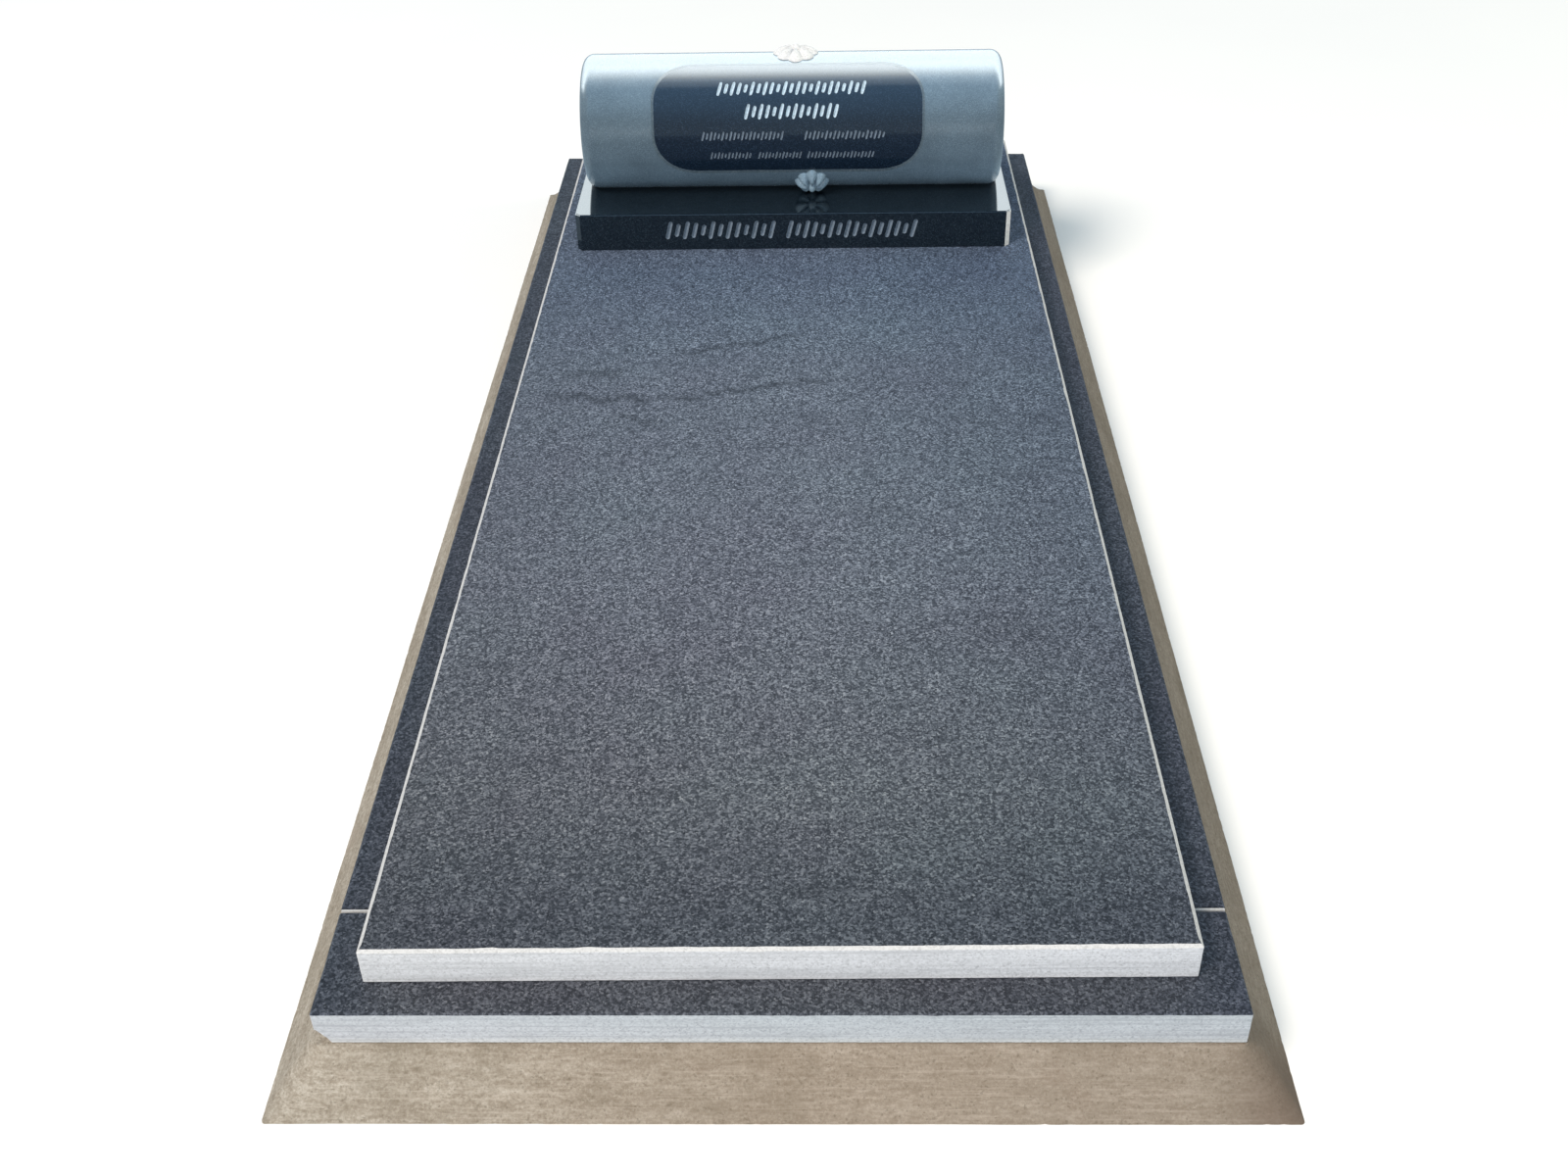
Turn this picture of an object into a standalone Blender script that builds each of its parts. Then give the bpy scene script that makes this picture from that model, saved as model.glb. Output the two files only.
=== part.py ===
"""A granite roll headstone on its base, with the ledger slab, kerb set and sloped plinth below it.

Metres, +Z up, +Y towards the head, +X to the right of someone who stands at the foot.
The origin is at the centre of the plinth's underside.
"""

import math

import bmesh
import bpy
from mathutils import Matrix, Vector

# Gap between pieces that touch
GAP = 0.0003

# Plinth
PLINTH_HEIGHT = 0.056
PLINTH_SLOPE = 0.054
PLINTH_LEDGE = 0.002
PLINTH_ARRIS = 0.003

# Kerb frame
KERB_HEIGHT = 0.044
KERB_SIDE_SHOW = 0.045
KERB_END_SHOW = 0.042
END_KERB_BREADTH = 0.134
SIDE_KERB_BREADTH = 0.110
KERB_ARRIS = 0.002
GROUT_WIDTH = 0.0035
GROUT_INSET = 0.0015
CHIP_RADIUS = 0.045
CHIP_OFFSET = Vector((0.50, 0.36, 0.33))

# Ledger slab
LEDGER_WIDTH = 0.830
LEDGER_LENGTH = 2.084
LEDGER_THICKNESS = 0.046
LEDGER_ARRIS = 0.003
LEDGER_SKEW = 0.0075

# Base block of the headstone
BASE_WIDTH = 0.752
BASE_DEPTH = 0.330
BASE_HEIGHT = 0.065
BASE_HEAD_MARGIN = 0.1635
BASE_ARRIS = 0.002
BASE_CORNER = 0.008

# Roll
ROLL_RADIUS = 0.114
ROLL_LENGTH = 0.725
ROLL_SEAT_DROP = 0.010
ROLL_EDGE_RADIUS = 0.018
ROLL_EDGE_STEPS = 4
ROLL_SIDES = 72

# Sunk panel on the roll; angles are measured from the top of the roll towards the foot
PANEL_END_MARGIN = 0.130
PANEL_SHIFT = -0.0065
PANEL_TOP_ANGLE = math.radians(15)
PANEL_BOTTOM_ANGLE = math.radians(120)
PANEL_CORNER = 0.078
PANEL_DEPTH = 0.002
PANEL_BEVEL = 0.004
PANEL_STEPS = 24
CUTTER_MARGIN = 0.004

# Rows of cut strokes in the panel: angle, height as an angle, and each group's centre and length
# as shares of the panel's width
PANEL_ROWS = (
    (math.radians(42), math.radians(13.5), ((0.0, 0.55),)),
    (math.radians(62.5), math.radians(13.8), ((0.0, 0.35),)),
    (math.radians(83), math.radians(8.2), ((-0.181, 0.305), (0.194, 0.299))),
    (math.radians(101), math.radians(7.2), ((-0.226, 0.155), (-0.045, 0.163), (0.180, 0.25))),
)

# Row of cut strokes in the front of the base, as shares of its height and width
BASE_ROW_HEIGHT = 0.52
BASE_ROW_RISE = 0.55
BASE_ROW_GROUPS = ((-0.166, 0.257), (0.136, 0.304))

# Every stroke, as shares of its row's height
STROKE_SLANT = math.radians(14)
STROKE_WIDTH = 0.21
STROKE_PITCH = 0.43
STROKE_DEPTH = 0.09
STROKE_LENGTHS = (1.0, 0.72, 1.0, 0.86, 0.60)

# Carved rosettes at the top and the bottom of the panel
ROSETTE_PETALS = 8
ROSETTE_LEAF = 0.75
ROSETTE_BOSS = 0.010
ROSETTE_ROOT = 0.002
ROSETTE_RINGS = 6
ROSETTE_STEPS_PER_PETAL = 4
TOP_ROSETTE_X = 0.007
TOP_ROSETTE_ANGLE = math.radians(-6)
TOP_ROSETTE_RADIUS = 0.040
TOP_ROSETTE_RELIEF = 0.016
LOW_ROSETTE_X = 0.034
LOW_ROSETTE_ANGLE = math.radians(134)
LOW_ROSETTE_RADIUS = 0.031
LOW_ROSETTE_RELIEF = 0.022

# Places that follow from the sizes
PANEL_WIDTH = ROLL_LENGTH - 2 * PANEL_END_MARGIN
KERB_WIDTH = LEDGER_WIDTH + 2 * KERB_SIDE_SHOW
KERB_LENGTH = LEDGER_LENGTH + 2 * KERB_END_SHOW
KERB_BOTTOM = PLINTH_HEIGHT + GAP
KERB_TOP = KERB_BOTTOM + KERB_HEIGHT
LEDGER_BOTTOM = KERB_TOP + GAP
LEDGER_TOP = LEDGER_BOTTOM + LEDGER_THICKNESS
BASE_BOTTOM = LEDGER_TOP + GAP
BASE_TOP = BASE_BOTTOM + BASE_HEIGHT
BASE_FRONT = LEDGER_LENGTH / 2 - BASE_HEAD_MARGIN - BASE_DEPTH
BASE_CENTRE_Y = BASE_FRONT + BASE_DEPTH / 2
ROLL_SEAT = BASE_TOP + GAP
ROLL_AXIS = Vector((0, BASE_CENTRE_Y, ROLL_SEAT + ROLL_RADIUS - ROLL_SEAT_DROP))


def material(name, colour, roughness):
    """A plain stone or mortar material."""
    made = bpy.data.materials.new(name)
    made.use_nodes = True
    shader = made.node_tree.nodes["Principled BSDF"]
    shader.inputs["Base Color"].default_value = (*colour, 1)
    shader.inputs["Roughness"].default_value = roughness
    shader.inputs["Metallic"].default_value = 0
    return made


def add_object(name, form, made):
    """Turns a bmesh into a named object with outward faces."""
    bmesh.ops.recalc_face_normals(form, faces=form.faces)
    mesh = bpy.data.meshes.new(name)
    form.to_mesh(mesh)
    form.free()
    mesh.materials.append(made)
    piece = bpy.data.objects.new(name, mesh)
    bpy.context.scene.collection.objects.link(piece)
    return piece


def as_cutter(piece):
    piece.hide_render = True
    piece.display_type = "WIRE"
    return piece


def boolean(piece, tool, operation):
    """Cuts the tool out of the piece, or joins it on."""
    as_cutter(tool)
    change = piece.modifiers.new(tool.name, "BOOLEAN")
    change.operation = operation
    change.solver = "EXACT"
    change.object = tool


def block(low, high):
    """A box between two corners, as a bmesh."""
    form = bmesh.new()
    size = Vector(high) - Vector(low)
    middle = (Vector(high) + Vector(low)) / 2
    bmesh.ops.create_cube(form, size=1, matrix=Matrix.Translation(middle) @ Matrix.Diagonal((*size, 1)))
    return form


def bevel_edges(form, width, wanted):
    """Chamfers the edges whose two ends satisfy wanted."""
    edges = [edge for edge in form.edges if all(wanted(vertex.co) for vertex in edge.verts)]
    bmesh.ops.bevel(form, geom=edges, offset=width, offset_type="OFFSET", segments=1, affect="EDGES")


def near(value, target):
    return abs(value - target) < 1e-6


def make_plinth(made):
    """A slab with all four sides sloped out to the ground."""
    half_x = KERB_WIDTH / 2 + PLINTH_LEDGE
    half_y = KERB_LENGTH / 2 + PLINTH_LEDGE
    form = block((-half_x, -half_y, 0), (half_x, half_y, PLINTH_HEIGHT))
    for vertex in form.verts:
        if near(vertex.co.z, 0):
            vertex.co.x += math.copysign(PLINTH_SLOPE - PLINTH_LEDGE, vertex.co.x)
            vertex.co.y += math.copysign(PLINTH_SLOPE - PLINTH_LEDGE, vertex.co.y)
    corners = [
        edge for edge in form.edges if not near(edge.verts[0].co.z, edge.verts[1].co.z)
    ]
    bmesh.ops.bevel(form, geom=corners, offset=PLINTH_ARRIS, offset_type="OFFSET", segments=1, affect="EDGES")
    return add_object("concrete_plinth", form, made)


def make_front_kerb(made):
    """The kerb across the foot, over the full width."""
    front = -KERB_LENGTH / 2
    low = (-KERB_WIDTH / 2, front, KERB_BOTTOM)
    form = block(low, (KERB_WIDTH / 2, front + END_KERB_BREADTH, KERB_TOP))
    bevel_edges(form, KERB_ARRIS, lambda point: near(point.z, KERB_TOP) and near(point.y, front))
    return add_object("kerb_front", form, made)


def make_back_kerb(made):
    """The kerb across the head, between the side kerbs."""
    back = KERB_LENGTH / 2
    reach = KERB_WIDTH / 2 - SIDE_KERB_BREADTH - GROUT_WIDTH
    form = block((-reach, back - END_KERB_BREADTH, KERB_BOTTOM), (reach, back, KERB_TOP))
    bevel_edges(form, KERB_ARRIS, lambda point: near(point.z, KERB_TOP) and near(point.y, back))
    return add_object("kerb_back", form, made)


def make_side_kerb(name, side, made):
    """A kerb along the left (side -1) or the right (side 1), from the front kerb to the head."""
    front = -(KERB_LENGTH / 2 - END_KERB_BREADTH - GROUT_WIDTH)
    back = KERB_LENGTH / 2
    outer = side * KERB_WIDTH / 2
    inner = side * (KERB_WIDTH / 2 - SIDE_KERB_BREADTH)
    form = block((min(outer, inner), front, KERB_BOTTOM), (max(outer, inner), back, KERB_TOP))

    def top_outer(point):
        return near(point.z, KERB_TOP) and (near(point.x, outer) or near(point.y, back))

    bevel_edges(form, KERB_ARRIS, top_outer)
    return add_object(name, form, made)


def make_front_grout(name, side, made):
    """The pointing between the front kerb and a side kerb, a little inside their faces."""
    outer = KERB_WIDTH / 2 - GROUT_INSET
    inner = KERB_WIDTH / 2 - SIDE_KERB_BREADTH + GROUT_INSET
    xs = sorted((side * outer, side * inner))
    joint = -KERB_LENGTH / 2 + END_KERB_BREADTH
    form = block((xs[0], joint + GAP, KERB_BOTTOM), (xs[1], joint + GROUT_WIDTH - GAP, KERB_TOP))
    return add_object(name, form, made)


def make_back_grout(name, side, made):
    """The pointing between the back kerb and a side kerb, a little inside their faces."""
    joint = KERB_WIDTH / 2 - SIDE_KERB_BREADTH
    xs = sorted((side * (joint - GAP), side * (joint - GROUT_WIDTH + GAP)))
    back = KERB_LENGTH / 2 - GROUT_INSET
    inner = KERB_LENGTH / 2 - END_KERB_BREADTH + GROUT_INSET
    form = block((xs[0], inner, KERB_BOTTOM), (xs[1], back, KERB_TOP))
    return add_object(name, form, made)


def make_chip():
    """The rounded break at the lower left corner of the front kerb."""
    form = bmesh.new()
    bmesh.ops.create_icosphere(form, subdivisions=3, radius=CHIP_RADIUS)
    for vertex in form.verts:
        vertex.co *= 1 + 0.015 * math.sin(900 * vertex.co.x + 500 * vertex.co.z)
    corner = Vector((-KERB_WIDTH / 2, -KERB_LENGTH / 2, KERB_BOTTOM))
    bmesh.ops.translate(form, vec=corner - CHIP_RADIUS * CHIP_OFFSET, verts=form.verts)
    return add_object("kerb_chip_cutter", form, None)


def make_ledger(made):
    """The slab on the kerbs, with its four top edges ground off and its foot end cut a little askew."""
    half_x = LEDGER_WIDTH / 2
    half_y = LEDGER_LENGTH / 2
    form = block((-half_x, -half_y, LEDGER_BOTTOM), (half_x, half_y, LEDGER_TOP))
    for vertex in form.verts:
        if near(vertex.co.y, -half_y):
            vertex.co.y += LEDGER_SKEW * vertex.co.x
    bevel_edges(form, LEDGER_ARRIS, lambda point: near(point.z, LEDGER_TOP))
    return add_object("ledger", form, made)


def stroke_places(height, width, groups):
    """Where each stroke of a row goes: its middle across the row and its length."""
    for centre, share in groups:
        length = share * width
        count = max(1, round(length / (STROKE_PITCH * height)))
        for index in range(count):
            across = centre * width + (index - (count - 1) / 2) * length / count
            yield across, height * STROKE_LENGTHS[index % len(STROKE_LENGTHS)]


def add_stroke(form, height, length, place):
    """A V-shaped bar with hipped ends, whose open side faces +Z before place moves it."""
    half_width = STROKE_WIDTH * height / 2
    depth = STROKE_DEPTH * height
    half_length = length / 2
    corners = [
        form.verts.new(Vector((2 * x * half_width, y * (half_length + half_width), depth)))
        for x, y in ((-1, -1), (1, -1), (1, 1), (-1, 1))
    ]
    ridge = [form.verts.new(Vector((0, y * (half_length - half_width), -depth))) for y in (-1, 1)]
    form.faces.new(corners)
    form.faces.new((corners[1], corners[0], ridge[0]))
    form.faces.new((corners[3], corners[2], ridge[1]))
    form.faces.new((corners[2], corners[1], ridge[0], ridge[1]))
    form.faces.new((corners[0], corners[3], ridge[1], ridge[0]))
    slant = Matrix.Rotation(-STROKE_SLANT, 4, "Z")
    bmesh.ops.transform(form, matrix=place @ slant, verts=corners + ridge)


def make_base(made, paint):
    """The block that the roll lies on, with a row of strokes in its front."""
    low = (-BASE_WIDTH / 2, BASE_FRONT, BASE_BOTTOM)
    high = (BASE_WIDTH / 2, BASE_FRONT + BASE_DEPTH, BASE_TOP)
    form = block(low, high)
    uprights = [
        edge for edge in form.edges if not near(edge.verts[0].co.z, edge.verts[1].co.z)
    ]
    bmesh.ops.bevel(form, geom=uprights, offset=BASE_CORNER, offset_type="OFFSET", segments=1, affect="EDGES")
    bevel_edges(form, BASE_ARRIS, lambda point: near(point.z, BASE_TOP))
    base = add_object("headstone_base", form, made)

    row = bmesh.new()
    facing = Matrix.Rotation(math.radians(90), 4, "X")
    row_height = BASE_ROW_HEIGHT * BASE_HEIGHT
    middle = BASE_BOTTOM + BASE_ROW_RISE * BASE_HEIGHT
    for across, length in stroke_places(row_height, BASE_WIDTH, BASE_ROW_GROUPS):
        add_stroke(row, row_height, length, Matrix.Translation((across, BASE_FRONT, middle)) @ facing)
    boolean(base, add_object("base_stroke_cutter", row, paint), "DIFFERENCE")
    return base


def on_roll(across, angle, radius):
    """A point at an angle from the top of the roll towards the foot."""
    return ROLL_AXIS + Vector((across, -radius * math.sin(angle), radius * math.cos(angle)))


def roll_frame(across, angle, radius):
    """A frame on the roll: X along it, Y up its face, Z out of it."""
    turn = Matrix.Rotation(angle, 4, "X")
    return Matrix.Translation(on_roll(across, angle, radius)) @ turn


def make_roll_blank(made):
    """The round stone with softened ends, turned about its long axis."""
    profile = []
    for step in range(ROLL_EDGE_STEPS + 1):
        turn = math.radians(90) * step / ROLL_EDGE_STEPS
        inset = ROLL_EDGE_RADIUS * (1 - math.sin(turn))
        drop = ROLL_EDGE_RADIUS * (1 - math.cos(turn))
        profile.append((ROLL_LENGTH / 2 - drop, ROLL_RADIUS - inset))
    profile += [(-along, radius) for along, radius in reversed(profile)]
    form = bmesh.new()
    rings = []
    for along, radius in profile:
        angles = [math.tau * side / ROLL_SIDES for side in range(ROLL_SIDES)]
        rings.append([form.verts.new(on_roll(along, angle, radius)) for angle in angles])
    for first, second in zip(rings, rings[1:]):
        for side in range(ROLL_SIDES):
            after = (side + 1) % ROLL_SIDES
            form.faces.new((first[side], first[after], second[after], second[side]))
    form.faces.new(rings[0])
    form.faces.new(rings[-1])
    return add_object("headstone_roll", form, made)


def make_seat_cutter():
    """What is cut off below the flat seat of the roll."""
    margin = 0.05
    low = ROLL_AXIS - Vector((ROLL_LENGTH / 2 + margin, ROLL_RADIUS, ROLL_RADIUS + margin))
    high = Vector((ROLL_LENGTH / 2 + margin, BASE_CENTRE_Y + ROLL_RADIUS, ROLL_SEAT))
    return add_object("roll_seat_cutter", block(low, high), None)


def panel_half_width(height, half_height, inset):
    """Half the width of the rounded panel at a height above its middle."""
    corner = PANEL_CORNER - inset
    over = max(0.0, abs(height) - (half_height - corner))
    return PANEL_WIDTH / 2 - inset - corner + math.sqrt(max(0.0, corner**2 - over**2))


def make_panel_cutter(made):
    """The sunk panel: a rounded sheet bent round the roll, narrower at its bottom."""
    middle = (PANEL_TOP_ANGLE + PANEL_BOTTOM_ANGLE) / 2
    full_height = ROLL_RADIUS * (PANEL_BOTTOM_ANGLE - PANEL_TOP_ANGLE) / 2
    flare = PANEL_BEVEL * CUTTER_MARGIN / PANEL_DEPTH
    form = bmesh.new()
    sheets = []
    for radius, inset in ((ROLL_RADIUS - PANEL_DEPTH, PANEL_BEVEL), (ROLL_RADIUS + CUTTER_MARGIN, -flare)):
        half_height = full_height - inset
        sheet = []
        for step in range(PANEL_STEPS + 1):
            height = half_height * math.sin(math.radians(90) * (2 * step / PANEL_STEPS - 1))
            angle = middle - height / ROLL_RADIUS
            half_width = panel_half_width(height, half_height, inset)
            left = form.verts.new(on_roll(PANEL_SHIFT - half_width, angle, radius))
            right = form.verts.new(on_roll(PANEL_SHIFT + half_width, angle, radius))
            sheet.append((left, right))
        sheets.append(sheet)
    inner, outer = sheets
    for step in range(PANEL_STEPS):
        after = step + 1
        for sheet in sheets:
            form.faces.new((sheet[step][0], sheet[step][1], sheet[after][1], sheet[after][0]))
        for side in (0, 1):
            form.faces.new((inner[step][side], inner[after][side], outer[after][side], outer[step][side]))
    for step in (0, PANEL_STEPS):
        form.faces.new((inner[step][0], inner[step][1], outer[step][1], outer[step][0]))
    return add_object("panel_cutter", form, made)


def make_panel_strokes(paint):
    """All the rows of strokes in the panel, as one cutter."""
    form = bmesh.new()
    floor = ROLL_RADIUS - PANEL_DEPTH
    for angle, span, groups in PANEL_ROWS:
        height = span * floor
        for across, length in stroke_places(height, PANEL_WIDTH, groups):
            add_stroke(form, height, length, roll_frame(across, angle, floor))
    return add_object("panel_stroke_cutter", form, paint)


def rosette_rim(turn, radius):
    """A rosette's reach in one direction, longest along each petal."""
    return radius * (0.86 + 0.14 * abs(math.cos(ROSETTE_PETALS * turn / 2)))


def rosette_height(share, turn, radius, relief):
    """How far a rosette stands out at a share of its radius in one direction."""
    petal = abs(math.cos(ROSETTE_PETALS * turn / 2))
    cup = math.sin(math.pi * (0.12 + 0.88 * share)) ** 0.7
    leaf = ROSETTE_LEAF * relief * cup * (0.55 + 0.45 * petal)
    boss = relief * math.sqrt(max(0.0, 1 - (share * rosette_rim(turn, radius) / ROSETTE_BOSS) ** 2))
    return max(leaf, boss)


def make_rosette(name, across, angle, radius, relief, made):
    """A round flower of cupped petals round a boss, carved in one with the roll."""
    form = bmesh.new()
    steps = ROSETTE_PETALS * ROSETTE_STEPS_PER_PETAL

    def place(share, turn, height):
        reach = share * rosette_rim(turn, radius)
        side = reach * math.cos(turn)
        down = reach * math.sin(turn)
        return on_roll(across + side, angle + down / ROLL_RADIUS, ROLL_RADIUS + height)

    top = form.verts.new(place(0, 0, relief))
    root = form.verts.new(place(0, 0, -radius / 2))
    rings = []
    turns = [math.tau * step / steps for step in range(steps)]
    for ring in range(1, ROSETTE_RINGS):
        share = ring / ROSETTE_RINGS
        heights = [rosette_height(share, turn, radius, relief) for turn in turns]
        rings.append([form.verts.new(place(share, turn, height)) for turn, height in zip(turns, heights)])
    rings.append([form.verts.new(place(1, turn, -ROSETTE_ROOT)) for turn in turns])
    for step in range(steps):
        after = (step + 1) % steps
        form.faces.new((top, rings[0][step], rings[0][after]))
        form.faces.new((root, rings[-1][after], rings[-1][step]))
        for inner, outer in zip(rings, rings[1:]):
            form.faces.new((inner[step], outer[step], outer[after], inner[after]))
    bmesh.ops.triangulate(form, faces=form.faces)
    return add_object(name, form, made)


def main():
    for old in list(bpy.data.objects):
        bpy.data.objects.remove(old, do_unlink=True)

    mortar = material("mortar", (0.40, 0.35, 0.27), 0.95)
    granite = material("grey_granite", (0.085, 0.10, 0.12), 0.35)
    white = material("white_grout", (0.75, 0.75, 0.73), 0.9)
    black = material("black_granite", (0.012, 0.016, 0.022), 0.12)
    honed = material("honed_granite", (0.13, 0.18, 0.22), 0.4)
    paint = material("stroke_silver", (0.40, 0.43, 0.46), 0.6)

    make_plinth(mortar)
    boolean(make_front_kerb(granite), make_chip(), "DIFFERENCE")
    make_back_kerb(granite)
    for side, hand in ((-1, "left"), (1, "right")):
        make_side_kerb(f"kerb_{hand}", side, granite)
        make_front_grout(f"grout_front_{hand}", side, white)
        make_back_grout(f"grout_back_{hand}", side, white)
    make_ledger(granite)
    make_base(black, paint)

    roll = make_roll_blank(honed)
    boolean(roll, make_panel_cutter(black), "DIFFERENCE")
    boolean(roll, make_panel_strokes(paint), "DIFFERENCE")
    top_rosette = make_rosette(
        "top_rosette", TOP_ROSETTE_X, TOP_ROSETTE_ANGLE, TOP_ROSETTE_RADIUS, TOP_ROSETTE_RELIEF, honed
    )
    low_rosette = make_rosette(
        "low_rosette", LOW_ROSETTE_X, LOW_ROSETTE_ANGLE, LOW_ROSETTE_RADIUS, LOW_ROSETTE_RELIEF, honed
    )
    boolean(roll, top_rosette, "UNION")
    boolean(roll, low_rosette, "UNION")
    boolean(roll, make_seat_cutter(), "DIFFERENCE")


main()
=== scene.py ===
"""The looks of a granite roll headstone on its ledger, kerb set and mortar plinth."""

import math

import bmesh
import bpy
from mathutils import Matrix, Vector, noise


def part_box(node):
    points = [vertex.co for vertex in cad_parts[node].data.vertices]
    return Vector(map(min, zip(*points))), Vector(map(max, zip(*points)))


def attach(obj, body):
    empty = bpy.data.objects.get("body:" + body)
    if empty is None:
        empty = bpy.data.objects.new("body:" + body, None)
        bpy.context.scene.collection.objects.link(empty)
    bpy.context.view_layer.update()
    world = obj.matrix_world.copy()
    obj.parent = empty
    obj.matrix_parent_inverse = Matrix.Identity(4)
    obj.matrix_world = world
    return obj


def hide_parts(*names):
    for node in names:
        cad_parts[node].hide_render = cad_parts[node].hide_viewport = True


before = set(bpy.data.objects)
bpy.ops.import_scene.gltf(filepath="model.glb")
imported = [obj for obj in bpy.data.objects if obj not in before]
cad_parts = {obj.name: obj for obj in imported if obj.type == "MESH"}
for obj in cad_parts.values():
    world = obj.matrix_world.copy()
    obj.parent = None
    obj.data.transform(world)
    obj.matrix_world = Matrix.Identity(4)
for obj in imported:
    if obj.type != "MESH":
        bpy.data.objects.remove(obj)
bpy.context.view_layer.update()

# Sizes that the solids were built with, in metres
CHIP_RADIUS = 0.045
CHIP_OFFSET = Vector((0.50, 0.36, 0.33))
PLINTH_SLOPE = 0.054
PLINTH_LEDGE = 0.002
ARRIS_LEDGER = 0.003
LEDGER_SKEW = 0.0075
ARRIS_KERB = 0.002
ARRIS_BASE = 0.002
BASE_CORNER = 0.008
ROLL_RADIUS = 0.114
ROLL_LENGTH = 0.725
ROLL_EDGE_RADIUS = 0.018
ROLL_SEAT_DROP = 0.010
PANEL_END_MARGIN = 0.130
PANEL_SHIFT = -0.0065
PANEL_WIDTH = ROLL_LENGTH - 2 * PANEL_END_MARGIN
PANEL_TOP_ANGLE = math.radians(15)
PANEL_BOTTOM_ANGLE = math.radians(120)
PANEL_CORNER = 0.078
PANEL_DEPTH = 0.002
PANEL_BEVEL = 0.004
CUTTER_MARGIN = 0.004
PANEL_ROWS = (
    (math.radians(42), math.radians(13.5), ((0.0, 0.55),)),
    (math.radians(62.5), math.radians(13.8), ((0.0, 0.35),)),
    (math.radians(83), math.radians(8.2), ((-0.181, 0.305), (0.194, 0.299))),
    (math.radians(101), math.radians(7.2), ((-0.226, 0.155), (-0.045, 0.163), (0.180, 0.25))),
)
BRIGHT_ROWS = 2
BASE_ROW_HEIGHT = 0.52
BASE_ROW_RISE = 0.55
BASE_ROW_GROUPS = ((-0.166, 0.257), (0.136, 0.304))
STROKE_SLANT = math.radians(14)
STROKE_WIDTH = 0.21
STROKE_PITCH = 0.43
STROKE_DEPTH = 0.09
STROKE_LENGTHS = (1.0, 0.72, 1.0, 0.86, 0.60)
ROSETTE_PETALS = 8
ROSETTE_LEAF = 0.75
ROSETTE_BOSS = 0.010
ROSETTE_ROOT = 0.002
TOP_ROSETTE_X = 0.007
TOP_ROSETTE_ANGLE = math.radians(-6)
TOP_ROSETTE_RADIUS = 0.040
TOP_ROSETTE_RELIEF = 0.016
LOW_ROSETTE_X = 0.034
LOW_ROSETTE_ANGLE = math.radians(134)
LOW_ROSETTE_RADIUS = 0.031
LOW_ROSETTE_RELIEF = 0.022

# Places taken from the frame
PLINTH_LOW, PLINTH_HIGH = (Vector(corner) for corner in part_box("concrete_plinth"))
LEDGER_LOW, LEDGER_HIGH = (Vector(corner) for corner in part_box("ledger"))
LEDGER_FRONT = LEDGER_LOW.y + LEDGER_SKEW * LEDGER_HIGH.x
BASE_LOW, BASE_HIGH = (Vector(corner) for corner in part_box("headstone_base"))
ROLL_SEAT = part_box("headstone_roll")[0][2]
ROLL_AXIS = Vector((0, (BASE_LOW.y + BASE_HIGH.y) / 2, ROLL_SEAT + ROLL_RADIUS - ROLL_SEAT_DROP))

# The photo's camera, measured from the middle of the ledger's front top edge
PHOTO_WIDTH = 1600
FOCAL_PIXELS = 1700
SENSOR = 36
CAMERA_FROM_LEDGER = Vector((0.041, -1.099, 1.248))
CAMERA_PITCH = math.radians(36.40)
CAMERA_YAW = math.radians(-1.47)
CAMERA_ROLL = math.radians(1.20)


# Material helpers


def set_stops(node, stops):
    """Fills a colour ramp node with its places and colours."""
    elements = node.color_ramp.elements
    while len(elements) < len(stops):
        elements.new(0.5)
    for element, (position, colour) in zip(elements, stops):
        element.position = position
        element.color = (*colour, 1)


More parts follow.
